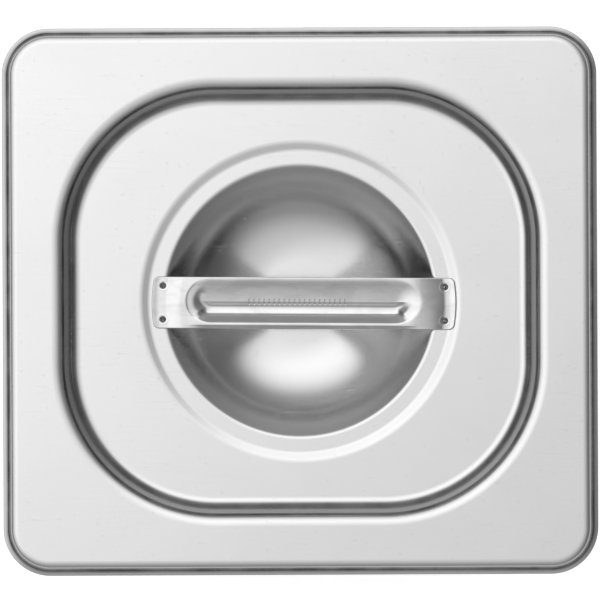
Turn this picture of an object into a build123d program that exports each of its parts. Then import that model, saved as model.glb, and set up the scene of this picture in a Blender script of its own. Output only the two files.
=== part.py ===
from build123d import *
import math
import os

# A one-sixth-size deli food pan with its cover on. Millimetres, +Z up, +X along the long side.
# The origin is the middle of the pan's base. Every piece is pressed sheet steel, so most shapes
# here are a bent-sheet section carried round a rounded rectangle or turned about the middle.

# Outline shared by the pan's rim and the cover's edge.
LENGTH = 176.0
WIDTH = 162.0
OUTER_CORNER_R = 14.0
RIM_TOP_Z = 100.0

# Pan body. Reaches are measured inward from the outline or from the opening's wall.
PAN_SHEET = 0.7
PAN_RIM_R = 2.4
PAN_SKIRT_DROP = 3.8
PAN_HEM_R = 1.0
PAN_HEM_REACH = 2.4
PAN_RIM_REACH = 5.0
OPENING_HALF_X = 70.8
OPENING_HALF_Y = 63.8
OPENING_CORNER_R = 46.0
OPENING_BEND_R = 2.5
OPENING_RING_START = 3.2
NECK_TAPER = 0.35
SHOULDER_TOP_Z = 88.7
SHOULDER_REACH = 2.6
SHOULDER_DROP = 2.4
SHOULDER_BEND_R = 1.5
WALL_TAPER_DEG = 3.5
BASE_BEND_R = 14.0
BASE_RING_REACH = 26.0

# Cover: lip that droops over the pan's rim, raised rim and sunken panel.
COVER_SHEET = 0.7
LIP_WIDTH = 1.7
LIP_DROOP_DEG = 20.0
LIP_BEND_R = 1.2
RIM_RISE = 2.1
RIM_WALL_DEG = 60.0
RIM_BEND_R = 1.6
RIM_RING_REACH = 4.6
RECESS_HALF_X = 71.2
RECESS_HALF_Y = 64.1
RECESS_CORNER_R = 46.4
RECESS_RING_START = 2.0
RECESS_EDGE_REACH = 0.9
RECESS_WALL_DEG = 67.0
RECESS_DEPTH = 6.9
RECESS_EDGE_R = 4.0
RECESS_FOOT_R = 3.8
RECESS_RING_REACH = 8.0

# Cover: round handle seat and finger bowl, as radii from the middle.
SEAT_PLATE_R = 49.5
SEAT_STEP_R = 47.35
SEAT_FOOT_R = 45.0
SEAT_DEPTH = 0.83
SEAT_STEP_BEND_R = 4.5
SEAT_FOOT_BEND_R = 3.0
BOWL_EDGE_R = 40.4
BOWL_EDGE_BEND_R = 2.1
BOWL_DEPTH = 14.0
BOWL_WALL_DEG = 41.0
BOWL_FOOT_BEND_R = 32.0

# Handle strip, spot-welded to the seat at both ends, with a round-bottomed channel pressed down.
# Its ends reach over the seat's step, so they are bent up, and its middle stands a little higher
# than the welds. It is welded on slightly off centre.
STRIP_SHEET = 0.8
STRIP_END_R = 45.25
STRIP_END_BEND_AT_R = 43.3
STRIP_END_BEND_R = 2.0
STRIP_END_DEG = 17.0
STRIP_CROWN = 1.2
STRIP_CROWN_INNER_R = 36.6
STRIP_CROWN_OUTER_R = 40.6
STRIP_CROWN_BEND_R = 2.0
STRIP_WIDTH = 15.5
STRIP_CORNER_R = 1.5
STRIP_SHIFT = (1.15, -0.6)
STRIP_TURN_DEG = -0.55
CHANNEL_STRAIGHT = 57.0
CHANNEL_SHIFT_Y = 0.5
CHANNEL_DEPTH = 2.2
CHANNEL_R = 9.6
CHANNEL_EDGE_R = 1.1

# Spot welds. Each is a plug of fused metal through the strip and part of the way into the seat.
WELD_X = 41.9
WELD_Y = 5.0
WELD_R = 0.85
WELD_DIMPLE = 0.12
WELD_DEPTH_IN_SEAT = 0.35

LIP_TOP_Z = RIM_TOP_Z + COVER_SHEET
RIM_Z = LIP_TOP_Z + RIM_RISE
PANEL_Z = RIM_Z - RECESS_DEPTH
SEAT_Z = PANEL_Z - SEAT_DEPTH
BOWL_Z = SEAT_Z - BOWL_DEPTH
STRIP_TOP_Z = SEAT_Z + STRIP_SHEET
CROWN_Z = STRIP_TOP_Z + STRIP_CROWN


def run_of(drop, degrees):
    """How far a straight slope runs sideways while it drops."""
    return drop / math.tan(math.radians(degrees))


def offset_corners(points, thickness):
    """The corners of the line that lies a thickness to the right of a polyline."""
    normals = []
    for start, end in zip(points, points[1:]):
        along = (end - start).normalized()
        normals.append(Vector(along.Y, -along.X))
    moved = [points[0] + normals[0] * thickness]
    for point, before, after in zip(points[1:], normals, normals[1:]):
        mitre = (before + after).normalized()
        moved.append(point + mitre * (thickness / mitre.dot(before)))
    moved.append(points[-1] + normals[-1] * thickness)
    return moved


def sheet_section(corners, radii, thickness):
    """The section of a bent sheet, in the XY plane, with Y as its height.

    The corners run along the sheet's upper face and the sheet lies to their right. The radii are
    the bends of that face, one for each inner corner.
    """
    points = [Vector(*corner) for corner in corners]
    back_points = offset_corners(points, thickness)
    back_radii = []
    for before, here, after, radius in zip(points, points[1:], points[2:], radii):
        turn = (here - before).cross(after - here).Z
        back_radii.append(radius + math.copysign(thickness, turn))
    face_line = FilletPolyline(*points, radius=radii)
    back_line = FilletPolyline(*back_points, radius=back_radii)
    ends = [Line(points[0], back_points[0]), Line(points[-1], back_points[-1])]
    return make_face([*face_line.edges(), *back_line.edges(), *ends])


def side_plane(degrees, distance, along=0.0):
    """The upright plane across one side of the pan, with its X axis pointing inward."""
    out = Vector(1, 0, 0).rotate(Axis.Z, degrees)
    tangent = Vector(0, 1, 0).rotate(Axis.Z, degrees)
    return Plane(origin=out * distance + tangent * along, x_dir=-out, z_dir=tangent)


def ring(section, half_x, half_y, corner_r):
    """A section carried round a rounded rectangle, whose line is the section's X of zero."""
    pieces = []
    for degrees, distance, half_width in [
        (0, half_x, half_y),
        (90, half_y, half_x),
        (180, half_x, half_y),
        (270, half_y, half_x),
    ]:
        half_run = half_width - corner_r
        pieces.append(extrude(side_plane(degrees, distance) * section, amount=half_run, both=True))
        corner = side_plane(degrees, distance, half_run) * section
        centre = side_plane(degrees, distance - corner_r, half_run).origin
        pieces.append(revolve(corner, axis=Axis(centre, (0, 0, 1)), revolution_arc=90))
    return Part() + pieces


def rounded_outline(half_x, half_y, corner_r, reach):
    """The rounded rectangle that lies a reach inside another one."""
    return RectangleRounded(2 * (half_x - reach), 2 * (half_y - reach), corner_r - reach)


def plate(outline, top_z, thickness):
    """A flat stretch of sheet below its top face."""
    return extrude(Pos(0, 0, top_z) * outline, amount=-thickness)


def weld_places():
    """The name and the middle of each spot weld."""
    for end, x in [("left", -WELD_X), ("right", WELD_X)]:
        for side, y in [("front", -WELD_Y), ("back", WELD_Y)]:
            yield f"spot_weld_{side}_{end}", (x, y)


def strip_place():
    """Where the strip is welded, from a place in the middle of the cover."""
    return Pos(*STRIP_SHIFT, 0) * Rot(0, 0, STRIP_TURN_DEG)


def weld_cylinders(bottom_z, top_z):
    """A cylinder of the weld's radius at each weld's place."""
    height = top_z - bottom_z
    return {
        name: strip_place() * Pos(x, y, bottom_z + height / 2) * Cylinder(WELD_R, height)
        for name, (x, y) in weld_places()
    }


def pan_rim():
    """The outer part of the pan's rim: flat top, turned-down skirt and a small hem."""
    hem_z = RIM_TOP_Z - PAN_SKIRT_DROP
    corners = [
        (PAN_HEM_REACH, hem_z),
        (0, hem_z),
        (0, RIM_TOP_Z),
        (PAN_RIM_REACH, RIM_TOP_Z),
    ]
    section = sheet_section(corners, [PAN_HEM_R, PAN_RIM_R], PAN_SHEET)
    return ring(section, LENGTH / 2, WIDTH / 2, OUTER_CORNER_R)


def pan_wall():
    """The pan's wall, from the rim's inner bend past the stacking shoulder to the base."""
    shoulder_z = SHOULDER_TOP_Z - SHOULDER_DROP
    shoulder_reach = NECK_TAPER + SHOULDER_REACH
    wall_reach = shoulder_reach + (shoulder_z - PAN_SHEET) * math.tan(math.radians(WALL_TAPER_DEG))
    corners = [
        (-OPENING_RING_START, RIM_TOP_Z),
        (0, RIM_TOP_Z),
        (NECK_TAPER, SHOULDER_TOP_Z),
        (shoulder_reach, shoulder_z),
        (wall_reach, PAN_SHEET),
        (BASE_RING_REACH, PAN_SHEET),
    ]
    radii = [OPENING_BEND_R, SHOULDER_BEND_R, SHOULDER_BEND_R, BASE_BEND_R]
    section = sheet_section(corners, radii, PAN_SHEET)
    return ring(section, OPENING_HALF_X, OPENING_HALF_Y, OPENING_CORNER_R)


def make_pan_body():
    outer = rounded_outline(LENGTH / 2, WIDTH / 2, OUTER_CORNER_R, PAN_RIM_REACH)
    opening = (OPENING_HALF_X, OPENING_HALF_Y, OPENING_CORNER_R)
    rim_plate = plate(outer - rounded_outline(*opening, -OPENING_RING_START), RIM_TOP_Z, PAN_SHEET)
    base_plate = plate(rounded_outline(*opening, BASE_RING_REACH), PAN_SHEET, PAN_SHEET)
    return pan_rim() + rim_plate + pan_wall() + base_plate


def cover_edge():
    """The cover's lip, drooping at its edge, and the wall up to its raised rim."""
    droop = LIP_WIDTH * math.tan(math.radians(LIP_DROOP_DEG))
    corners = [
        (0, LIP_TOP_Z - droop),
        (LIP_WIDTH, LIP_TOP_Z),
        (LIP_WIDTH + run_of(RIM_RISE, RIM_WALL_DEG), RIM_Z),
        (RIM_RING_REACH, RIM_Z),
    ]
    section = sheet_section(corners, [LIP_BEND_R, RIM_BEND_R], COVER_SHEET)
    return ring(section, LENGTH / 2, WIDTH / 2, OUTER_CORNER_R)


def cover_recess():
    """The wall from the raised rim down to the sunken panel."""
    foot_reach = RECESS_EDGE_REACH + run_of(RECESS_DEPTH, RECESS_WALL_DEG)
    corners = [
        (-RECESS_RING_START, RIM_Z),
        (RECESS_EDGE_REACH, RIM_Z),
        (foot_reach, PANEL_Z),
        (RECESS_RING_REACH, PANEL_Z),
    ]
    section = sheet_section(corners, [RECESS_EDGE_R, RECESS_FOOT_R], COVER_SHEET)
    return ring(section, RECESS_HALF_X, RECESS_HALF_Y, RECESS_CORNER_R)


def cover_bowl():
    """The round step down to the handle seat and the finger bowl inside it."""
    bowl_foot_r = BOWL_EDGE_R - run_of(BOWL_DEPTH, BOWL_WALL_DEG)
    radii_and_heights = [
        (SEAT_PLATE_R, PANEL_Z),
        (SEAT_STEP_R, PANEL_Z),
        (SEAT_FOOT_R, SEAT_Z),
        (BOWL_EDGE_R, SEAT_Z),
        (bowl_foot_r, BOWL_Z),
        (0, BOWL_Z),
    ]
    corners = [(SEAT_PLATE_R - radius, z) for radius, z in radii_and_heights]
    bends = [SEAT_STEP_BEND_R, SEAT_FOOT_BEND_R, BOWL_EDGE_BEND_R, BOWL_FOOT_BEND_R]
    section = sheet_section(corners, bends, COVER_SHEET)
    return revolve(side_plane(0, SEAT_PLATE_R) * section, axis=Axis.Z)


def make_cover_panel():
    recess = (RECESS_HALF_X, RECESS_HALF_Y, RECESS_CORNER_R)
    outer = rounded_outline(LENGTH / 2, WIDTH / 2, OUTER_CORNER_R, RIM_RING_REACH)
    rim_plate = plate(outer - rounded_outline(*recess, -RECESS_RING_START), RIM_Z, COVER_SHEET)
    panel_outline = rounded_outline(*recess, RECESS_RING_REACH) - Circle(SEAT_PLATE_R)
    panel_plate = plate(panel_outline, PANEL_Z, COVER_SHEET)
    cover = cover_edge() + rim_plate + cover_recess() + panel_plate + cover_bowl()
    for pocket in weld_cylinders(SEAT_Z - WELD_DEPTH_IN_SEAT, SEAT_Z).values():
        cover -= pocket
    return cover


def channel_reach():
    """How far the channel's edge bend starts from its middle line, at the strip's top face."""
    centres_apart = CHANNEL_R + CHANNEL_EDGE_R
    return math.sqrt(centres_apart**2 - (centres_apart - CHANNEL_DEPTH) ** 2)


def channel_half_section():
    """Half of the channel's section, from its middle line out to where its edge bend starts."""
    reach = channel_reach()
    sweep = math.degrees(math.asin(reach / (CHANNEL_R + CHANNEL_EDGE_R)))
    trough_centre = (0, CROWN_Z - CHANNEL_DEPTH + CHANNEL_R)
    edge_centre = (reach, CROWN_Z - CHANNEL_EDGE_R)
    edges = []
    for depth in (0, STRIP_SHEET):
        edges.append(CenterArc(trough_centre, CHANNEL_R + depth, -90, sweep))
        edges.append(CenterArc(edge_centre, CHANNEL_EDGE_R - depth, 90, sweep))
    for x, top_z in [(0, CROWN_Z - CHANNEL_DEPTH), (reach, CROWN_Z)]:
        edges.append(Line((x, top_z), (x, top_z - STRIP_SHEET)))
    return make_face([edge.edge() for edge in edges])


def strip_plate():
    """The strip without its channel: higher in the middle, and bent up at both ends."""
    end_rise = (STRIP_END_R - STRIP_END_BEND_AT_R) * math.tan(math.radians(STRIP_END_DEG))
    radii_and_heights = [
        (STRIP_END_R, STRIP_TOP_Z + end_rise),
        (STRIP_END_BEND_AT_R, STRIP_TOP_Z),
        (STRIP_CROWN_OUTER_R, STRIP_TOP_Z),
        (STRIP_CROWN_INNER_R, CROWN_Z),
        (0, CROWN_Z),
    ]
    corners = [(STRIP_END_R - radius, z) for radius, z in radii_and_heights]
    bends = [STRIP_END_BEND_R, STRIP_CROWN_BEND_R, STRIP_CROWN_BEND_R]
    section = sheet_section(corners, bends, STRIP_SHEET)
    disc = revolve(side_plane(0, STRIP_END_R) * section, axis=Axis.Z)
    outline = Circle(STRIP_END_R) & Rectangle(2 * STRIP_END_R, STRIP_WIDTH)
    outline = fillet(outline.vertices(), STRIP_CORNER_R)
    return disc & plate(outline, CROWN_Z, CROWN_Z - SEAT_Z)


def channel_trough():
    """The channel's pressed sheet: a straight trough with a round end at each end."""
    half_straight = CHANNEL_STRAIGHT / 2
    half_section = channel_half_section()
    across = Plane(origin=(0, 0, 0), x_dir=(0, 1, 0), z_dir=(1, 0, 0))
    trough_half = extrude(across * half_section, amount=half_straight, both=True)
    trough = trough_half + mirror(trough_half, about=Plane.XZ)
    for end in (-1, 1):
        middle = (end * half_straight, 0, 0)
        section = Plane(origin=middle, x_dir=(0, -end, 0), z_dir=(-end, 0, 0)) * half_section
        trough += revolve(section, axis=Axis(middle, (0, 0, 1)), revolution_arc=180)
    return trough


def make_handle_strip():
    mouth = SlotCenterToCenter(CHANNEL_STRAIGHT, 2 * channel_reach())
    channel_place = Pos(0, CHANNEL_SHIFT_Y, 0)
    strip = strip_plate() - channel_place * plate(mouth, CROWN_Z, STRIP_SHEET)
    strip = strip_place() * (strip + channel_place * channel_trough())
    for hole in weld_cylinders(STRIP_TOP_Z - STRIP_SHEET, STRIP_TOP_Z).values():
        strip -= hole
    return strip


def make_nodes():
    """Every piece of the pan, by its node's name."""
    nodes = {
        "pan_body": make_pan_body(),
        "cover_panel": make_cover_panel(),
        "handle_strip": make_handle_strip(),
    }
    nodes.update(weld_cylinders(SEAT_Z - WELD_DEPTH_IN_SEAT, STRIP_TOP_Z - WELD_DIMPLE))
    return nodes


os.makedirs("parts", exist_ok=True)
for node, piece in make_nodes().items():
    export_step(piece, f"parts/{node}.step")
    print(node, "volume", round(piece.volume, 1), "solids", len(piece.solids()), "valid", piece.is_valid)
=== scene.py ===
"""The looks of a deli food pan: pressed stainless sheet, satin cover, brighter welded handle strip."""

import math

import bpy
from mathutils import Matrix, Vector, noise


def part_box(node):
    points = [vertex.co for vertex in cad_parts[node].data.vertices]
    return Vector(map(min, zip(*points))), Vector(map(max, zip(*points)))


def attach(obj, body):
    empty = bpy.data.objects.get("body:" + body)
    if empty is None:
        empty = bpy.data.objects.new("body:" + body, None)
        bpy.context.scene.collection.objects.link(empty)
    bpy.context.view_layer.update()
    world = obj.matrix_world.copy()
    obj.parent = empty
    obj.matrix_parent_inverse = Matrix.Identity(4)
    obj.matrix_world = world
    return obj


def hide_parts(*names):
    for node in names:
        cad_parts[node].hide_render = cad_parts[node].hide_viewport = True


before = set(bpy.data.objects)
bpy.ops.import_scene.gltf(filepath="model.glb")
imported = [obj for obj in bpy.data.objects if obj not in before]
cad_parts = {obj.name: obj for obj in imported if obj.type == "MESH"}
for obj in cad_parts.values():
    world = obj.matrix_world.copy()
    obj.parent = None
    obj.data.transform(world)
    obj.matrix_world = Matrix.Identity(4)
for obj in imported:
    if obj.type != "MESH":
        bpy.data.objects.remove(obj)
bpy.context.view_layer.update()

MM = 0.001

# ---------------------------------------------------------------- sizes

# Sizes that the frame gives.
PAN_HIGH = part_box("pan_body")[1]
COVER_LOW, COVER_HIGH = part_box("cover_panel")
HALF_LENGTH = COVER_HIGH.x
HALF_WIDTH = COVER_HIGH.y
RIM_TOP_Z = PAN_HIGH.z
RIM_Z = COVER_HIGH.z

# Sheet and bends, as pressed. Reaches are measured inward from each outline. A shallow shoulder
# leads over into the steep wall of the rim and of the recess.
SHEET = 0.7 * MM
OUTER_CORNER_R = 14 * MM
CUT_EDGE_R = 0.2 * MM

LIP_WIDTH = 1.7 * MM
LIP_DROOP_DEG = 20
LIP_BEND_R = 1.2 * MM
LIP_TOP_Z = RIM_TOP_Z + SHEET
RIM_WALL_DEG = 55
RIM_BEND_R = 1.0 * MM
RIM_SHOULDER_RUN = 1.1 * MM
RIM_SHOULDER_DEG = 25
RIM_SHOULDER_R = 4.0 * MM
RIM_RING_REACH = 5.0 * MM
RECESS_HALF_X = 71.2 * MM
RECESS_HALF_Y = 64.1 * MM
RECESS_CORNER_R = 46.4 * MM
RECESS_RING_START = 2.5 * MM
RECESS_EDGE_REACH = -1.0 * MM
RECESS_SHOULDER_RUN = 1.75 * MM
RECESS_SHOULDER_DEG = 28
RECESS_SHOULDER_R = 5.0 * MM
RECESS_WALL_DEG = 62.5
RECESS_DEPTH = 6.9 * MM
RECESS_EDGE_R = 2.0 * MM
RECESS_FOOT_R = 3.8 * MM
RECESS_RING_REACH = 8.0 * MM
PANEL_Z = RIM_Z - RECESS_DEPTH

SEAT_Z = PANEL_Z - 0.83 * MM
SEAT_PLATE_R = 49.5 * MM
SEAT_STEP_R = 47.35 * MM
SEAT_FOOT_R = 45.0 * MM
SEAT_STEP_BEND_R = 4.5 * MM
SEAT_FOOT_BEND_R = 3.0 * MM
BOWL_EDGE_R = 40.4 * MM
BOWL_EDGE_BEND_R = 2.1 * MM
BOWL_WALL_DEG = 41
BOWL_FOOT_BEND_R = 32 * MM
BOWL_Z = COVER_LOW.z + SHEET

PAN_RIM_R = 2.4 * MM
PAN_SKIRT_DROP = 3.8 * MM
PAN_HEM_R = 1.0 * MM
PAN_HEM_REACH = 2.4 * MM
PAN_RIM_REACH = 5.0 * MM
OPENING_HALF_X = 70.8 * MM
OPENING_HALF_Y = 63.8 * MM
OPENING_CORNER_R = 46 * MM
OPENING_BEND_R = 2.5 * MM
OPENING_RING_START = 3.2 * MM
NECK_TAPER = 0.35 * MM
SHOULDER_TOP_Z = 88.7 * MM
SHOULDER_REACH = 2.6 * MM
SHOULDER_DROP = 2.4 * MM
SHOULDER_BEND_R = 1.5 * MM
WALL_TAPER_DEG = 3.5
BASE_BEND_R = 14 * MM
BASE_RING_REACH = 26 * MM

# Handle strip, from its own middle, with heights from its flat top.
STRIP_SHEET = 0.8 * MM
STRIP_TOP_Z = SEAT_Z + STRIP_SHEET
STRIP_MIDDLE = Vector((1.15 * MM, -0.6 * MM, STRIP_TOP_Z))
STRIP_TURN = math.radians(-0.55)
STRIP_PLACE = Matrix.Translation(STRIP_MIDDLE) @ Matrix.Rotation(STRIP_TURN, 4, "Z")
STRIP_END_R = 45.25 * MM
STRIP_HALF_WIDTH = 7.75 * MM
STRIP_CORNER_R = 1.5 * MM
STRIP_EDGE_R = 0.38 * MM
STRIP_END_ZONE = 38 * MM
END_BEND_R = 42.9 * MM
END_BEND_WIDTH = 1.2 * MM
END_SLOPE = 0.22

# The strip's middle stands higher than its welded ends: (mm from the middle, slope) on each side.
# Its level changes evenly from one side's to the other's along the run. It also tilts a little.
CROWN_RUN = 69 * MM
CROWN_TILT = 0.03
TILT_END = 40 * MM
TILT_FULL = 33 * MM
CROWN_LEFT = ((36.4, 0), (37.4, 0.12), (40.2, 0.22), (41.3, 0))
CROWN_RIGHT = ((31.5, 0), (34.0, 0.2), (38.0, 0.3), (41.5, 0.4), (42.6, 0))

# The channel's slopes, from its middle line outward, as (mm, slope) on each side and at each end.
CHANNEL_MIDDLE_Y = 0.5 * MM
CHANNEL_DEPTH = 2.07 * MM
CHANNEL_REACH = 35.4 * MM
CHANNEL_BACK = ((0, 0.25), (0.65, 0.27), (5.1, 0.48), (6.0, 0.44), (6.95, 0), (7.1, 0))
CHANNEL_FRONT = (
    (0, -0.24),
    (0.3, -0.40),
    (0.55, -0.36),
    (0.85, -0.26),
    (1.35, -0.44),
    (1.9, 0),
    (2.6, 0.15),
    (3.3, 0.2),
    (3.9, 0.78),
    (6.1, 0.78),
    (6.8, 0),
    (7.1, 0),
)
CHANNEL_RIGHT = ((0, 0), (1.2, 0.3), (6.2, 0.42), (7.1, 0))
CHANNEL_LEFT = ((0, 0), (2.2, 0.1), (3.4, 0.55), (4.4, 0.55), (5.5, 0.2), (6.3, 0.2), (6.7, 0.5), (7.1, 0))
CHANNEL_HALF_WIDTH = 7.1 * MM

# Each end of the channel: its length, and where round its corners a side gives way to the end,
# as the cosine of the angle from straight across.
LEFT_END_LENGTH = 7.9 * MM
LEFT_END_TURN = (0.65, 0.98)
RIGHT_END_LENGTH = 8.7 * MM
RIGHT_END_TURN = (0.80, 1.0)
SOFT_TURN_R = 2 * MM
SHARP_TURN_R = 4.5 * MM

# Beside the channel the strip's long edges curl down, except near its ends.
MARGIN_START = 6.9 * MM
MARGIN_BEND = 0.5 * MM
MARGIN_SLOPE = 0.45
MARGIN_END = 36 * MM
MARGIN_FULL = 29 * MM

# Faint waves of pressed sheet: (height, length, width) in mm and a place in the noise.
WAVES = ((0.02, 9, 5, 0), (0.004, 2.6, 1.7, 5))

# A row of plain pressed ticks in the channel.
TICKS = 20
TICK_PITCH = 1.5 * MM
TICK_ROW_MIDDLE = Vector((-2.0 * MM, 0.35 * MM))
TICK_HALF_HEIGHT = 0.95 * MM
TICK_HALF_WIDTH = 0.3 * MM
TICK_DEPTH = 0.12 * MM

# Spot welds: where they are from the strip's middle, and the dent that each sits in.
WELD_X = 41.9 * MM
WELD_Y = 5.0 * MM
WELD_DENT_R = 1.02 * MM
WELD_DENT_FLOOR_R = 0.75 * MM
WELD_DENT_DEPTH = 0.24 * MM
WELD_LIP_R = 1.45 * MM
WELD_LIP_WIDTH = 0.28 * MM
WELD_LIP_HEIGHT = 0.03 * MM
WELD_REACH = 2.2 * MM

# A weld's section, as (radius, height from the strip's flat top) in mm.
WELD_POINTS = 40
WELD_RIPPLE = 0.05
WELD_PROFILE = (
    (0.02, -0.19),
    (0.25, -0.2),
    (0.42, -0.15),
    (0.55, -0.05),
    (0.68, -0.01),
    (0.78, -0.04),
    (0.85, -0.14),
    (0.85, -1.15),
)

# Heat marks round each weld, and painted shade in a band across the strip's right end, in mm.
HEAT_SPOT_R = 0.8
HEAT_SPOT_FADE = 0.8
SHADE_BAND_X = 39.6
SHADE_BAND_WIDTH = 2.6
SHADE_BAND_AMOUNT = 0.75

# How finely bends and outlines are divided: degrees to a step, and points to a side and to a corner.
ARC_STEP_DEG = 5
SIDE_POINTS = 14
CORNER_POINTS = 36


# ---------------------------------------------------------------- sheet sections

def arc_points(before, here, after, radius):
    """The arc that rounds one corner of a line, as points with the normals to the line's left."""
    incoming = (here - before).normalized()
    outgoing = (after - here).normalized()
    turn = math.atan2(incoming.x * outgoing.y - incoming.y * outgoing.x, incoming.dot(outgoing))
    side = math.copysign(1, turn)
    cut = radius * math.tan(abs(turn) / 2)
    left = Vector((-incoming.y, incoming.x))
    centre = here - incoming * cut + left * radius * side
    steps = max(2, math.ceil(math.degrees(abs(turn)) / ARC_STEP_DEG))
    points = []
    for i in range(steps + 1):
        normal = Matrix.Rotation(turn * i / steps, 2) @ left
        points.append((centre - normal * radius * side, normal))
    return points


def bent_line(corners, radii):
    """A line of straight runs with rounded corners, as points with the normals to its left."""
    corners = [Vector(corner) for corner in corners]
    first = (corners[1] - corners[0]).normalized()
    last = (corners[-1] - corners[-2]).normalized()
    points = [(corners[0], Vector((-first.y, first.x)))]
    for before, here, after, radius in zip(corners, corners[1:], corners[2:], radii):
        points += arc_points(before, here, after, radius)
    points.append((corners[-1], Vector((-last.y, last.x))))
    return points


def rounded_end(line, thickness, start):
    """A section's cut end, from its front face round to its back face, as points with normals.

    The points lie within the line's own end, so that the sheet keeps its size.
    """
    place, normal = line[0] if start else line[-1]
    out = Vector((-normal.y, normal.x)) if start else Vector((normal.y, -normal.x))
    points = []
    for depth, angles in ((CUT_EDGE_R, (90, 60, 30, 0)), (thickness - CUT_EDGE_R, (0, -30, -60, -90))):
        for angle in angles:
            lean = normal * math.sin(math.radians(angle)) + out * math.cos(math.radians(angle))
            points.append((place - normal * depth + (lean - out) * CUT_EDGE_R, lean))
    return points


def run_of(drop, degrees):
    """How far a straight slope runs sideways while it drops."""
    return drop / math.tan(math.radians(degrees))


def drop_of(run, degrees):
    """How far a straight slope drops over a run."""
    return run * math.tan(math.radians(degrees))


# ---------------------------------------------------------------- loops that sections follow

def rounded_loop(half_x, half_y, corner_r):
    """Points round a rounded rectangle, each with its outward direction."""
    loop = []
    for quarter in range(4):
        turn = math.radians(90 * quarter)
        out = Vector((math.cos(turn), math.sin(turn)))
        along = Vector((-out.y, out.x))
        distance, half = (half_x, half_y) if quarter % 2 == 0 else (half_y, half_x)
        run = half - corner_r
        for i in range(SIDE_POINTS):
            loop.append((out * distance + along * run * (2 * i / SIDE_POINTS - 1), out))
        centre = out * (distance - corner_r) + along * run
        for i in range(CORNER_POINTS):
            angle = turn + math.radians(90 * i / CORNER_POINTS)
            direction = Vector((math.cos(angle), math.sin(angle)))
            loop.append((centre + direction * corner_r, direction))
    return loop


def round_loop(radius):
    """Points round a circle, in step with the points of rounded_loop."""
    count = 4 * (SIDE_POINTS + CORNER_POINTS)
    start = -math.pi * SIDE_POINTS / count
    loop = []
    for i in range(count):
        angle = start + 2 * math.pi * i / count
        direction = Vector((math.cos(angle), math.sin(angle)))
        loop.append((direction * radius, direction))
    return loop


def rings_along(loop, line):
    """One ring of (point, normal) for each point of a section, carried round a loop.

    The section's first number is the reach inward from the loop and its second is the height.
    """
    rings = []
    for place, normal in line:
        ring = []
        for base, out in loop:
            flat = base - out * place.x
            ring.append(((flat.x, flat.y, place.y), (-out.x * normal.x, -out.y * normal.x, normal.y)))
        rings.append(ring)
    return rings


def back_of(line, thickness):
    """The section line of a sheet's other face."""
    return [(place - normal * thickness, -normal) for place, normal in line]


# ---------------------------------------------------------------- meshes

def mesh_object(name, points, normals, faces):
    """A smooth mesh object with the given vertex normals."""
    mesh = bpy.data.meshes.new(name)
    mesh.from_pydata(points, [], faces)
    mesh.shade_smooth()
    mesh.normals_split_custom_set_from_vertices(normals)
    obj = bpy.data.objects.new(name, mesh)
    bpy.context.scene.collection.objects.link(obj)
    return obj


def closed_shell(name, rings):
    """A closed mesh through successive rings, with the first and the last ring drawn to a point."""
    count = len(rings[0])
    points = [point for ring in rings for point, _ in ring]
    normals = [normal for ring in rings for _, normal in ring]
    faces = []
    for k in range(len(rings) - 1):
        for i in range(count):
            j = (i + 1) % count
            faces.append((k * count + i, (k + 1) * count + i, (k + 1) * count + j, k * count + j))
    for k, order in ((0, 1), (len(rings) - 1, -1)):
        place, normal = rings[k][0]
        pole = len(points)
        points.append((0, 0, place[2]))
        normals.append(normal)
        for i in range(count):
            pair = (k * count + i, k * count + (i + 1) % count)
            faces.append((pole, *pair[::order]))
    return mesh_object(name, points, normals, faces)


# ---------------------------------------------------------------- cover

def rim_section():
    """From the lip's cut edge, up the rim and onto the flange."""
    shoulder_z = RIM_Z - drop_of(RIM_SHOULDER_RUN, RIM_SHOULDER_DEG)
    shoulder_reach = LIP_WIDTH + run_of(shoulder_z - LIP_TOP_Z, RIM_WALL_DEG)
    return bent_line(
        [
            (0, LIP_TOP_Z - drop_of(LIP_WIDTH, LIP_DROOP_DEG)),
            (LIP_WIDTH, LIP_TOP_Z),
            (shoulder_reach, shoulder_z),
            (shoulder_reach + RIM_SHOULDER_RUN, RIM_Z),
            (RIM_RING_REACH, RIM_Z),
        ],
        [LIP_BEND_R, RIM_BEND_R, RIM_SHOULDER_R],
    )


def recess_section():
    """From the flange down the recess's wall and onto the panel."""
    wall_reach = RECESS_EDGE_REACH + RECESS_SHOULDER_RUN
    wall_z = RIM_Z - drop_of(RECESS_SHOULDER_RUN, RECESS_SHOULDER_DEG)
    return bent_line(
        [
            (-RECESS_RING_START, RIM_Z),
            (RECESS_EDGE_REACH, RIM_Z),
            (wall_reach, wall_z),
            (wall_reach + run_of(wall_z - PANEL_Z, RECESS_WALL_DEG), PANEL_Z),
            (RECESS_RING_REACH, PANEL_Z),
        ],
        [RECESS_SHOULDER_R, RECESS_EDGE_R, RECESS_FOOT_R],
    )


def bowl_section():
    """From the panel over the seat's step and down the bowl."""
    heights = [
        (SEAT_PLATE_R, PANEL_Z),
        (SEAT_STEP_R, PANEL_Z),
        (SEAT_FOOT_R, SEAT_Z),
        (BOWL_EDGE_R, SEAT_Z),
        (BOWL_EDGE_R - run_of(SEAT_Z - BOWL_Z, BOWL_WALL_DEG), BOWL_Z),
        (0.5 * MM, BOWL_Z),
    ]
    return bent_line(
        [(SEAT_PLATE_R - radius, z) for radius, z in heights],
        [SEAT_STEP_BEND_R, SEAT_FOOT_BEND_R, BOWL_EDGE_BEND_R, BOWL_FOOT_BEND_R],
    )


def cover_sections():
    """The cover's section lines, each from the outside in, with the loop that each follows."""
    return [
        (rounded_loop(HALF_LENGTH, HALF_WIDTH, OUTER_CORNER_R), rim_section()),
        (rounded_loop(RECESS_HALF_X, RECESS_HALF_Y, RECESS_CORNER_R), recess_section()),
        (round_loop(SEAT_PLATE_R), bowl_section()),
    ]


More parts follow.
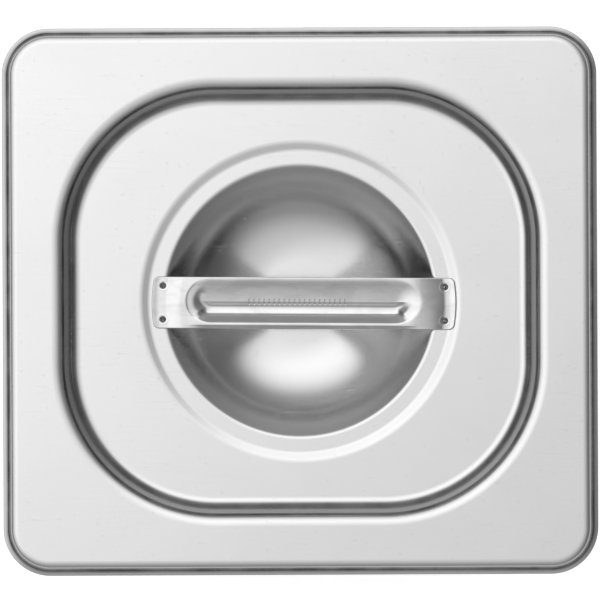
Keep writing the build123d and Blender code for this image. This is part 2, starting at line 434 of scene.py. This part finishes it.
def sheet_shell(name, sections, thickness):
    """A closed shell of a sheet from section lines that run from its cut edge to its middle."""
    front = [ring for loop, line in sections for ring in rings_along(loop, line)]
    back = [ring for loop, line in sections for ring in rings_along(loop, back_of(line, thickness))]
    end = rings_along(sections[0][0], rounded_end(sections[0][1], thickness, True))
    return closed_shell(name, front[:0:-1] + end + back[1:])


def make_cover():
    cover = sheet_shell("cover_shell", cover_sections(), SHEET)
    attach(cover, "cover")
    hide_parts("cover_panel")
    return cover


# ---------------------------------------------------------------- pan

def pan_sections():
    """The pan's section lines, from the skirt's hem over the rim and down to the base."""
    hem_z = RIM_TOP_Z - PAN_SKIRT_DROP
    rim = bent_line(
        [(PAN_HEM_REACH, hem_z), (0, hem_z), (0, RIM_TOP_Z), (PAN_RIM_REACH, RIM_TOP_Z)],
        [PAN_HEM_R, PAN_RIM_R],
    )
    shoulder_z = SHOULDER_TOP_Z - SHOULDER_DROP
    shoulder_reach = NECK_TAPER + SHOULDER_REACH
    wall_reach = shoulder_reach + (shoulder_z - SHEET) * math.tan(math.radians(WALL_TAPER_DEG))
    wall = bent_line(
        [
            (-OPENING_RING_START, RIM_TOP_Z),
            (0, RIM_TOP_Z),
            (NECK_TAPER, SHOULDER_TOP_Z),
            (shoulder_reach, shoulder_z),
            (wall_reach, SHEET),
            (BASE_RING_REACH, SHEET),
        ],
        [OPENING_BEND_R, SHOULDER_BEND_R, SHOULDER_BEND_R, BASE_BEND_R],
    )
    base = [(Vector((0, SHEET)), Vector((0, 1)))]
    return [
        (rounded_loop(HALF_LENGTH, HALF_WIDTH, OUTER_CORNER_R), rim),
        (rounded_loop(OPENING_HALF_X, OPENING_HALF_Y, OPENING_CORNER_R), wall),
        (round_loop(1 * MM), base),
    ]


def make_pan():
    pan = sheet_shell("pan_shell", pan_sections(), SHEET)
    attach(pan, "pan")
    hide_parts("pan_body")
    return pan


# ---------------------------------------------------------------- handle strip

def rise(slopes, distance):
    """The height gained along (mm, slope) pairs, with the slope running evenly between them."""
    height = 0
    for (start, slope), (end, next_slope) in zip(slopes, slopes[1:]):
        part = min(max((distance / MM - start) / (end - start), 0), 1)
        height += (end - start) * MM * (slope * part + (next_slope - slope) * part * part / 2)
    return height


def whole_rise(slopes):
    """The height gained along all the pairs."""
    return rise(slopes, slopes[-1][0] * MM)


def ease(value, low, high):
    """A smooth step from 0 at low to 1 at high."""
    part = min(max((value - low) / (high - low), 0), 1)
    return part * part * (3 - 2 * part)


CROWN_HEIGHTS = [whole_rise(slopes) for slopes in (CROWN_LEFT, CROWN_RIGHT)]
CHANNEL_SLOPES = (CHANNEL_BACK, CHANNEL_FRONT, CHANNEL_RIGHT, CHANNEL_LEFT)
CHANNEL_SIDES = [(slopes, whole_rise(slopes)) for slopes in CHANNEL_SLOPES]


def channel_height(x, y):
    """The channel's height: each side and end has its own slope, blended round the corners."""
    length, turn = (RIGHT_END_LENGTH, RIGHT_END_TURN) if x > 0 else (LEFT_END_LENGTH, LEFT_END_TURN)
    beyond = max(abs(x) - (CHANNEL_REACH - length), 0) * CHANNEL_HALF_WIDTH / length
    across = y - CHANNEL_MIDDLE_Y
    distance = math.hypot(beyond, across)
    if distance > CHANNEL_HALF_WIDTH:
        return 0
    side = abs(across) / max(distance, 0.01 * MM)
    side += (ease(side, *turn) - side) * ease(distance, SOFT_TURN_R, SHARP_TURN_R)
    shares = (
        side if across >= 0 else 0,
        0 if across >= 0 else side,
        1 - side if x >= 0 else 0,
        0 if x >= 0 else 1 - side,
    )
    height = -CHANNEL_DEPTH
    for share, (slopes, total) in zip(shares, CHANNEL_SIDES):
        if share:
            height += share * rise(slopes, distance) * CHANNEL_DEPTH / total
    return height


def margin_height(x, y):
    """The strip's long edges curl down a little beside the channel."""
    across = abs(y - CHANNEL_MIDDLE_Y) - MARGIN_START
    if across <= 0 or abs(x) >= MARGIN_END:
        return 0
    curl = ease(across, 0, MARGIN_BEND) * MARGIN_SLOPE * across
    return -curl * ease(abs(x), MARGIN_END, MARGIN_FULL)


def crown_height(x, y):
    """The raised middle, which falls to the welds at both ends."""
    left, right = CROWN_HEIGHTS
    part = min(max(x / CROWN_RUN + 0.5, 0), 1)
    level = left + (right - left) * part
    tilt = CROWN_TILT * y * ease(abs(x), TILT_END, TILT_FULL)
    return level + tilt - rise(CROWN_RIGHT if x > 0 else CROWN_LEFT, math.hypot(x, y))


def end_height(x, y):
    """Both ends of the strip ride up on the seat's step."""
    past = math.hypot(x, y) - END_BEND_R
    if past <= 0:
        return 0
    if past < END_BEND_WIDTH:
        return END_SLOPE * past * past / (2 * END_BEND_WIDTH)
    return END_SLOPE * (past - END_BEND_WIDTH / 2)


def weld_distance(x, y):
    return math.hypot(abs(x) - WELD_X, abs(y) - WELD_Y)


def weld_dent_height(x, y):
    distance = weld_distance(x, y)
    if distance > WELD_REACH:
        return 0
    lip = WELD_LIP_HEIGHT * math.exp(-(((distance - WELD_LIP_R) / WELD_LIP_WIDTH) ** 2))
    return lip - WELD_DENT_DEPTH * ease(distance, WELD_DENT_R, WELD_DENT_FLOOR_R)


def tick_height(x, y):
    """Plain upright grooves, evenly spaced."""
    along = (x - TICK_ROW_MIDDLE.x) / TICK_PITCH + (TICKS - 1) / 2
    place = min(max(round(along), 0), TICKS - 1)
    aside = abs(along - place) * TICK_PITCH
    past_end = abs(y - TICK_ROW_MIDDLE.y)
    if aside > TICK_HALF_WIDTH or past_end > TICK_HALF_HEIGHT:
        return 0
    depth = TICK_DEPTH * ease(aside, TICK_HALF_WIDTH, 0)
    return -depth * ease(past_end, TICK_HALF_HEIGHT, 0.7 * TICK_HALF_HEIGHT)


def strip_height(x, y):
    """The strip's upper face over its flat top, with the faint waves of pressed sheet."""
    waves = 0
    for height, length, width, seed in WAVES:
        waves += height * MM * noise.noise(Vector((x / (length * MM), y / (width * MM), seed)))
    shape = channel_height(x, y) + margin_height(x, y) + crown_height(x, y) + end_height(x, y)
    return shape + weld_dent_height(x, y) + tick_height(x, y) + waves


def strip_normal(x, y):
    step = 0.02 * MM
    east = (strip_height(x + step, y) - strip_height(x - step, y)) / (2 * step)
    north = (strip_height(x, y + step) - strip_height(x, y - step)) / (2 * step)
    return Vector((-east, -north, 1)).normalized()


def spaced(stops):
    """Places between successive stops, given as (stop, spacing up to the next stop) in mm."""
    places = []
    for (start, spacing), (end, _) in zip(stops, stops[1:]):
        steps = max(1, round((end - start) / spacing))
        places += [(start + (end - start) * i / steps) * MM for i in range(steps)]
    return places + [stops[-1][0] * MM]


def strip_columns():
    """Distances along the strip, closer together at the welds and the ticks."""
    end = STRIP_END_R / MM
    left = [(-end, 0.25), (-43.6, 0.15), (-40.3, 0.25), (-28, 0.35), (-17, 0.15)]
    right = [(13, 0.35), (28, 0.25), (40.3, 0.15), (43.6, 0.25), (end, 1)]
    return spaced(left + right)


def strip_rows():
    """Distances across the strip, closer together at the welds and the rounded corners."""
    straight = (STRIP_HALF_WIDTH - STRIP_CORNER_R) / MM
    middle = spaced([(-straight, 0.15), (-3.6, 0.2), (3.6, 0.15), (straight, 1)])
    corner = []
    for angle in (12, 24, 36, 48, 60, 72, 82, 90):
        corner.append((straight + STRIP_CORNER_R / MM * math.sin(math.radians(angle))) * MM)
    return [-y for y in reversed(corner)] + middle + corner


def outline_reach(y):
    """How far the strip's outline reaches along X: a round end with rounded corners."""
    straight = STRIP_HALF_WIDTH - STRIP_CORNER_R
    reach = math.sqrt(STRIP_END_R**2 - min(abs(y), straight) ** 2)
    over = max(abs(y) - straight, 0)
    return reach - STRIP_CORNER_R + math.sqrt(max(STRIP_CORNER_R**2 - over**2, 0))


def strip_grid():
    """The plan of the strip's upper face as rows of (x, y), drawn in by the rounding of its edges."""
    inset = (STRIP_HALF_WIDTH - STRIP_EDGE_R) / STRIP_HALF_WIDTH
    grid = []
    for y in strip_rows():
        short = STRIP_END_R - outline_reach(y) + STRIP_EDGE_R
        row = []
        for x in strip_columns():
            pull = short * ease(abs(x), STRIP_END_ZONE, STRIP_END_R)
            row.append((x - math.copysign(pull, x), y * inset))
        grid.append(row)
    return grid


def grid_border(row_count, column_count):
    """Indices round a grid's border, anticlockwise from above."""
    last = (row_count - 1) * column_count
    bottom = list(range(column_count))
    right = [i * column_count + column_count - 1 for i in range(1, row_count)]
    top = [last + i for i in range(column_count - 2, -1, -1)]
    left = [i * column_count for i in range(row_count - 2, 0, -1)]
    return bottom + right + top + left


def strip_mesh_parts():
    """Points, normals and faces of the whole strip: upper face, lower face and rounded cut edge."""
    grid = strip_grid()
    flat = [place for row in grid for place in row]
    count = len(flat)
    tops = [Vector((x, y, strip_height(x, y))) for x, y in flat]
    lean = [strip_normal(x, y) for x, y in flat]
    points = tops + [point - Vector((0, 0, STRIP_SHEET)) for point in tops]
    normals = lean + [-normal for normal in lean]
    columns = len(grid[0])
    faces = []
    for i in range(len(grid) - 1):
        for j in range(columns - 1):
            a = i * columns + j
            quad = (a, a + 1, a + columns + 1, a + columns)
            faces.append(quad)
            faces.append(tuple(count + k for k in reversed(quad)))
    add_cut_edge(points, normals, faces, grid_border(len(grid), columns), count)
    return points, normals, faces


def add_cut_edge(points, normals, faces, border, back):
    """The rounded edge that joins the upper face's border to the lower face's."""
    rings = [border]
    for depth, angles in ((STRIP_EDGE_R, (60, 30, 0)), (STRIP_SHEET - STRIP_EDGE_R, (0, -30, -60))):
        for angle in angles:
            ring = []
            for k, index in enumerate(border):
                along = points[border[(k + 1) % len(border)]] - points[border[k - 1]]
                out = Vector((along.y, -along.x, 0)).normalized()
                lean = out * math.cos(math.radians(angle)) + Vector((0, 0, math.sin(math.radians(angle))))
                ring.append(len(points))
                points.append(points[index] - Vector((0, 0, depth)) + lean * STRIP_EDGE_R)
                normals.append(lean)
            rings.append(ring)
    rings.append([back + index for index in border])
    for ring, below in zip(rings, rings[1:]):
        for k in range(len(border)):
            j = (k + 1) % len(border)
            faces.append((ring[k], below[k], below[j], ring[j]))


def weld_heat_and_shade(x, y):
    """How far the steel is darkened: heat marks, most at each weld, and painted shade in a band at the
    right end.
    """
    spot = math.exp(-max(weld_distance(x, y) / MM - HEAT_SPOT_R, 0) / HEAT_SPOT_FADE)
    band = SHADE_BAND_AMOUNT * math.exp(-(((x / MM - SHADE_BAND_X) / SHADE_BAND_WIDTH) ** 2))
    return max(spot, band)


def make_strip():
    points, normals, faces = strip_mesh_parts()
    # Per point: heat marks round the welds, and a band of painted shade at the right end.
    heat = [weld_heat_and_shade(point.x, point.y) for point in points]
    places = [STRIP_PLACE @ point for point in points]
    turned = STRIP_PLACE.to_3x3()
    strip = mesh_object("handle_sheet", places, [turned @ normal for normal in normals], faces)
    strip.data.attributes.new("heat", "FLOAT", "POINT").data.foreach_set("value", heat)
    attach(strip, "cover")
    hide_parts("handle_strip")
    return strip


# ---------------------------------------------------------------- spot welds

def make_weld(node, x, y):
    """A round plug of fused metal with a sunken, ringed top."""
    count = WELD_POINTS
    middle = STRIP_PLACE @ Vector((x, y, 0))
    points = []
    for radius, height in WELD_PROFILE:
        for i in range(count):
            angle = 2 * math.pi * i / count
            out = Vector((math.cos(angle), math.sin(angle), 0))
            waver = noise.noise(Vector((out.x * 1.5 + x / MM, out.y * 1.5, y / MM)))
            step = out * radius * MM * (1 + WELD_RIPPLE * waver)
            points.append(middle + step + Vector((0, 0, height * MM)))
    faces = [tuple(range(count))]
    for k in range(len(WELD_PROFILE) - 1):
        for i in range(count):
            j = (i + 1) % count
            faces.append((k * count + i, (k + 1) * count + i, (k + 1) * count + j, k * count + j))
    faces.append(tuple(range(len(points) - 1, len(points) - count - 1, -1)))
    mesh = bpy.data.meshes.new(node + "_top")
    mesh.from_pydata(points, [], faces)
    mesh.shade_smooth()
    mesh.set_sharp_from_angle(angle=math.radians(50))
    weld = bpy.data.objects.new(node + "_top", mesh)
    bpy.context.scene.collection.objects.link(weld)
    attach(weld, "cover")
    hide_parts(node)
    return weld


def make_welds():
    welds = []
    for end, x in (("left", -WELD_X), ("right", WELD_X)):
        for side, y in (("front", -WELD_Y), ("back", WELD_Y)):
            welds.append(make_weld(f"spot_weld_{side}_{end}", x, y))
    return welds


cover = make_cover()
pan = make_pan()
strip = make_strip()
welds = make_welds()


# ---------------------------------------------------------------- node graphs

class Graph:
    """Short ways to build a node tree."""

    def __init__(self, tree):
        self.tree = tree
        self.nodes = tree.nodes

    def add(self, kind, *values, **settings):
        """A node with its settings and its first inputs, where None leaves an input alone."""
        node = self.nodes.new(kind)
        for name, value in settings.items():
            setattr(node, name, value)
        for socket, value in zip(node.inputs, values):
            self.put(socket, value)
        return node

    def put(self, socket, value):
        if isinstance(value, bpy.types.NodeSocket):
            self.tree.links.new(value, socket)
        elif value is not None:
            socket.default_value = value

    def calc(self, operation, *values):
        return self.add("ShaderNodeMath", *values, operation=operation).outputs[0]

    def add_up(self, start, fields, amounts):
        """The start value plus each field times its amount."""
        total = start
        for field, amount in zip(fields, amounts):
            total = self.calc("MULTIPLY_ADD", field, amount, total)
        return total

    def smooth(self, value, low, high, start=0, end=1):
        node = self.add("ShaderNodeMapRange", value, low, high, start, end, interpolation_type="SMOOTHSTEP")
        return node.outputs["Result"]

    def mix_colours(self, amount, first, second):
        node = self.add("ShaderNodeMix", amount, data_type="RGBA")
        self.put(node.inputs[6], first)
        self.put(node.inputs[7], second)
        return node.outputs[2]

    def split(self, vector):
        return self.add("ShaderNodeSeparateXYZ", vector).outputs

    def place(self):
        return self.add("ShaderNodeTexCoord").outputs["Object"]

    def noise(self, size, detail=2.0, stretch=(1, 1, 1), turn_deg=0, warp=0.0):
        """Noise with features of the given size in millimetres, drawn out by the stretch after a turn."""
        mapping = self.add("ShaderNodeMapping", self.place())
        mapping.inputs["Rotation"].default_value = (0, 0, math.radians(turn_deg))
        mapping.inputs["Scale"].default_value = [1 / (size * MM * factor) for factor in stretch]
        node = self.add("ShaderNodeTexNoise", mapping.outputs[0])
        node.inputs["Scale"].default_value = 1
        node.inputs["Detail"].default_value = detail
        node.inputs["Distortion"].default_value = warp
        return node.outputs["Fac"]


# ---------------------------------------------------------------- steels

def new_graph(name):
    material = bpy.data.materials.new(name)
    material.use_nodes = True
    return material, Graph(material.node_tree)


def scratches(graph, size, turn_deg, width, patch_size):
    """Thin random scratches along one direction, only in patches. 1 on a scratch, 0 off it."""
    field = graph.noise(size, detail=1.0, stretch=(18, 1, 18), turn_deg=turn_deg, warp=0.3)
    off_line = graph.calc("ABSOLUTE", graph.calc("SUBTRACT", field, 0.5))
    patches = graph.smooth(graph.noise(patch_size, detail=1.0), 0.52, 0.62)
    return graph.calc("MULTIPLY", graph.smooth(off_line, width, 0), patches)


def steel_graph(name, tone, roughness, grain_size, grain_depth, line_stretch, line_depth, mottle):
    """Stainless sheet: satin grain, rolling or drawing lines, faint clouding, and fine scratches.

    Sizes and depths are in millimetres. Returns the material, its graph, and its colour and
    roughness before they reach the shader.
    """
    material, graph = new_graph(name)
    shader = graph.nodes["Principled BSDF"]
    shader.inputs["Metallic"].default_value = 1
    grain = graph.noise(grain_size, detail=4.0)
    lines = graph.noise(0.5, detail=3.0, stretch=line_stretch)
    clouds = graph.noise(38, detail=3.0, warp=0.8)
    specks = graph.smooth(graph.noise(1.4, detail=2.0), 0.66, 0.74)
    marks = graph.calc(
        "MAXIMUM",
        scratches(graph, 1.6, 24, 0.004, 26),
        graph.calc("MAXIMUM", scratches(graph, 2.1, -38, 0.003, 34), scratches(graph, 1.3, 81, 0.004, 30)),
    )
    clouding = graph.calc("SUBTRACT", clouds, 0.5)
    graining = graph.calc("SUBTRACT", grain, 0.5)
    streaks = graph.calc("MULTIPLY", graph.calc("SUBTRACT", lines, 0.5), line_depth)

    fields = (clouding, graining, streaks, marks, specks)
    rough = graph.add_up(roughness, fields, (mottle, 0.10, 30, 0.10, 0.05))
    shade = graph.add_up(tone, fields, (0.05, 0.05, 20, -0.05, -0.03))
    colour = graph.add("ShaderNodeCombineColor", shade, shade, shade).outputs[0]

    height = graph.calc("MULTIPLY_ADD", grain, grain_depth, graph.calc("MULTIPLY", lines, line_depth))
    height = graph.calc("MULTIPLY_ADD", marks, -0.0006, height)
    bump = graph.add("ShaderNodeBump")
    bump.inputs["Strength"].default_value = 1
    bump.inputs["Distance"].default_value = MM
    graph.put(bump.inputs["Height"], height)
    graph.put(shader.inputs["Normal"], bump.outputs[0])
    return material, graph, colour, rough


def finish_steel(graph, colour, rough):
    shader = graph.nodes["Principled BSDF"]
    graph.put(shader.inputs["Base Color"], colour)
    graph.put(shader.inputs["Roughness"], rough)


def height_band(graph, low, full_low, full_high, high):
    """1 between two heights on the piece, fading to 0 above and below them."""
    up = graph.split(graph.place())[2]
    return graph.calc("MULTIPLY", graph.smooth(up, low, full_low), graph.smooth(up, high, full_high))


def soil_and_shade(graph, colour, rough, amount, shade, roughening):
    """Darkens and dulls the steel by an amount from 0 to 1: dirt, weld heat marks and painted shade."""
    colour = graph.mix_colours(amount, colour, (shade, shade, shade, 1))
    return colour, graph.calc("MULTIPLY_ADD", amount, roughening, rough)


def cover_steel():
    """Satin pressed sheet, with painted shade in the feet of its bends: darker and a little rougher at the
    foot of the recess and at the foot of the rim above the lip.
    """
    material, graph, colour, rough = steel_graph(
        "cover_steel", 0.65, 0.17, 0.35, 0.0016, (40, 1, 1), 0.0010, 0.05
    )
    # Painted shade: the foot of the recess and the rim just above the lip are darkened and dulled, in
    # patches.
    patchy = graph.smooth(graph.noise(7, detail=3.0), 0.3, 0.7, 0.75, 1)
    recess_foot_shade = height_band(graph, *[PANEL_Z + up * MM for up in (0.1, 0.8, 1.8, 3.2)])
    lip = height_band(graph, *[LIP_TOP_Z + up * MM for up in (-0.45, 0, 0.6, 1.4)])
    amount = graph.calc("MAXIMUM", graph.calc("MULTIPLY", recess_foot_shade, 0.65), graph.calc("MULTIPLY", lip, 0.9))
    finish_steel(graph, *soil_and_shade(graph, colour, rough, graph.calc("MULTIPLY", amount, patchy), 0.08, 0.04))
    return material


def pan_steel():
    """Deep-drawn sheet, with faint upright drawing lines on its walls."""
    material, graph, colour, rough = steel_graph(
        "pan_steel", 0.62, 0.25, 0.4, 0.0016, (1.2, 1.2, 60), 0.0055, 0.08
    )
    finish_steel(graph, colour, rough)
    return material


def handle_steel():
    """Brighter sheet with handling smudges, darkened and dulled by the heat of the welds and by a band of
    painted shade at its right end.
    """
    material, graph, colour, rough = steel_graph(
        "handle_steel", 0.66, 0.08, 0.3, 0.0010, (30, 1, 1), 0.0010, 0.05
    )
    smudges = graph.smooth(graph.noise(4.5, detail=4.0, stretch=(2.5, 1, 1), warp=0.5), 0.44, 0.70)
    colour, rough = soil_and_shade(graph, colour, rough, graph.calc("MULTIPLY", smudges, 0.2), 0.30, 0.3)
    # The heat attribute carries the weld heat marks and the band of painted shade at the right end.
    heat = graph.add("ShaderNodeAttribute", attribute_name="heat").outputs["Fac"]
    patchy = graph.smooth(graph.noise(1.5, detail=3.0), 0.35, 0.65, 0.35, 0.85)
    finish_steel(graph, *soil_and_shade(graph, colour, rough, graph.calc("MULTIPLY", heat, patchy), 0.20, 0.15))
    return material


def weld_steel():
    """Burnt fused metal: dark, rougher and scaly."""
    material, graph = new_graph("weld_steel")
    shader = graph.nodes["Principled BSDF"]
    shader.inputs["Metallic"].default_value = 1
    scale = graph.noise(0.35, detail=3.0)
    shade = graph.smooth(scale, 0.35, 0.65, 0.05, 0.20)
    blue = graph.calc("MULTIPLY", shade, 0.95)
    colour = graph.add("ShaderNodeCombineColor", shade, shade, blue).outputs[0]
    graph.put(shader.inputs["Base Color"], colour)
    graph.put(shader.inputs["Roughness"], graph.smooth(scale, 0.3, 0.7, 0.45, 0.25))
    bump = graph.add("ShaderNodeBump")
    bump.inputs["Distance"].default_value = MM
    graph.put(bump.inputs["Height"], graph.calc("MULTIPLY", scale, 0.02))
    graph.put(shader.inputs["Normal"], bump.outputs[0])
    return material


cover.data.materials.append(cover_steel())
pan.data.materials.append(pan_steel())
strip.data.materials.append(handle_steel())
weld_metal = weld_steel()
for weld in welds:
    weld.data.materials.append(weld_metal)


# ---------------------------------------------------------------- camera, light and floor

CAMERA_HEIGHT = 0.9
VIEW_WIDTH = 177.3 * MM
VIEW_DROP = 0.36 * MM
VIEW_ROLL_DEG = 0.25
SENSOR = 36

# A softbox overhead, reaching further towards the back left, in a darker room. Its edges are in
# metres, at the softbox's height over the cover's lip.
SOFTBOX_HEIGHT = 1.1
SOFTBOX_WEST, SOFTBOX_EAST = -2.3, 1.4
SOFTBOX_SOUTH, SOFTBOX_NORTH = -1.65, 2.1
FADE_WEST, FADE_EAST = 2.0, 1.2
FADE_SOUTH, FADE_NORTH = 1.5, 1.7
SOFTBOX_LEVEL = 0.93
SOFTBOX_TREND = 0.3
SOFTBOX_TREND_REACH = 0.6
ROOM_LEVEL = 0.097
ROOM_RISE = 3.2
ROOM_EDGE = 0.35
ROOM_EAST = -0.015
ROOM_NORTH = 0.02
BACKGROUND_LEVEL = 0.85
FLOOR_SIZE = 6
FLOOR_DROP = 0.3 * MM
FLOOR_TONE = 0.88
FLOOR_GLOW = 0.6
FLOOR_GLOW_REFLECTED = 0.1


def make_camera():
    data = bpy.data.cameras.new("camera")
    data.sensor_width = SENSOR
    data.lens = SENSOR * CAMERA_HEIGHT / VIEW_WIDTH
    camera = bpy.data.objects.new("camera", data)
    camera.location = (0, VIEW_DROP, LIP_TOP_Z + CAMERA_HEIGHT)
    camera.rotation_euler = (0, 0, math.radians(-VIEW_ROLL_DEG))
    bpy.context.scene.collection.objects.link(camera)
    bpy.context.scene.camera = camera


def make_floor():
    """A plain pale floor with a faint unevenness, bright enough to stay white round the pan."""
    bpy.ops.mesh.primitive_plane_add(size=FLOOR_SIZE, location=(0, 0, -FLOOR_DROP))
    floor = bpy.context.object
    floor.name = "floor"
    material, graph = new_graph("floor_white")
    shader = graph.nodes["Principled BSDF"]
    shader.inputs["Base Color"].default_value = (FLOOR_TONE, FLOOR_TONE, FLOOR_TONE, 1)
    shader.inputs["Emission Color"].default_value = (1, 1, 1, 1)
    from_camera = graph.add("ShaderNodeLightPath").outputs["Is Camera Ray"]
    glow = graph.calc("MULTIPLY_ADD", from_camera, FLOOR_GLOW - FLOOR_GLOW_REFLECTED, FLOOR_GLOW_REFLECTED)
    graph.put(shader.inputs["Emission Strength"], glow)
    graph.put(shader.inputs["Roughness"], graph.smooth(graph.noise(60), 0.3, 0.7, 0.7, 0.9))
    floor.data.materials.append(material)


def softbox_plane():
    z = LIP_TOP_Z + SOFTBOX_HEIGHT
    corners = [
        (SOFTBOX_WEST, SOFTBOX_SOUTH, z),
        (SOFTBOX_WEST, SOFTBOX_NORTH, z),
        (SOFTBOX_EAST, SOFTBOX_NORTH, z),
        (SOFTBOX_EAST, SOFTBOX_SOUTH, z),
    ]
    mesh = bpy.data.meshes.new("softbox")
    mesh.from_pydata(corners, [], [(0, 1, 2, 3)])
    softbox = bpy.data.objects.new("softbox", mesh)
    bpy.context.scene.collection.objects.link(softbox)
    softbox.visible_camera = False
    return softbox


def make_softbox():
    """A glowing plane with soft edges, over the camera and out of its sight."""
    softbox = softbox_plane()
    material, graph = new_graph("softbox_cloth")
    graph.nodes.clear()
    east, north, _ = graph.split(graph.place())
    across = graph.calc(
        "MULTIPLY",
        graph.smooth(east, SOFTBOX_WEST, SOFTBOX_WEST + FADE_WEST),
        graph.smooth(east, SOFTBOX_EAST, SOFTBOX_EAST - FADE_EAST),
    )
    along = graph.calc(
        "MULTIPLY",
        graph.smooth(north, SOFTBOX_SOUTH, SOFTBOX_SOUTH + FADE_SOUTH),
        graph.smooth(north, SOFTBOX_NORTH, SOFTBOX_NORTH - FADE_NORTH),
    )
    trend = graph.smooth(
        graph.calc("SUBTRACT", north, east),
        -SOFTBOX_TREND_REACH,
        SOFTBOX_TREND_REACH,
        SOFTBOX_LEVEL - SOFTBOX_TREND,
        SOFTBOX_LEVEL + SOFTBOX_TREND,
    )
    level = graph.calc("MULTIPLY", graph.calc("MULTIPLY", across, along), trend)
    emission = graph.add("ShaderNodeEmission", None, level)
    clear = graph.add("ShaderNodeBsdfTransparent")
    both = graph.add("ShaderNodeAddShader", emission.outputs[0], clear.outputs[0])
    graph.add("ShaderNodeOutputMaterial", both.outputs[0])
    softbox.data.materials.append(material)


def make_world():
    """A grey room, darker at its horizon, with a pale background for the camera."""
    world = bpy.data.worlds.new("studio")
    bpy.context.scene.world = world
    world.use_nodes = True
    graph = Graph(world.node_tree)
    graph.nodes.clear()
    east, north, up = graph.split(graph.add("ShaderNodeTexCoord").outputs["Generated"])
    fields = (graph.calc("MULTIPLY", north, north), north, east)
    walls = graph.add_up(ROOM_LEVEL, fields, (ROOM_LEVEL, ROOM_NORTH, ROOM_EAST))
    level = graph.calc("MULTIPLY", walls, graph.smooth(up, 0, ROOM_EDGE, 1, ROOM_RISE))
    room = graph.add("ShaderNodeBackground", None, level)
    seen = graph.add("ShaderNodeBackground", None, BACKGROUND_LEVEL)
    from_camera = graph.add("ShaderNodeLightPath").outputs["Is Camera Ray"]
    mix = graph.add("ShaderNodeMixShader", from_camera, room.outputs[0], seen.outputs[0])
    graph.add("ShaderNodeOutputWorld", mix.outputs[0])


make_camera()
make_floor()
make_softbox()
make_world()
bpy.context.scene.view_settings.view_transform = "Standard"
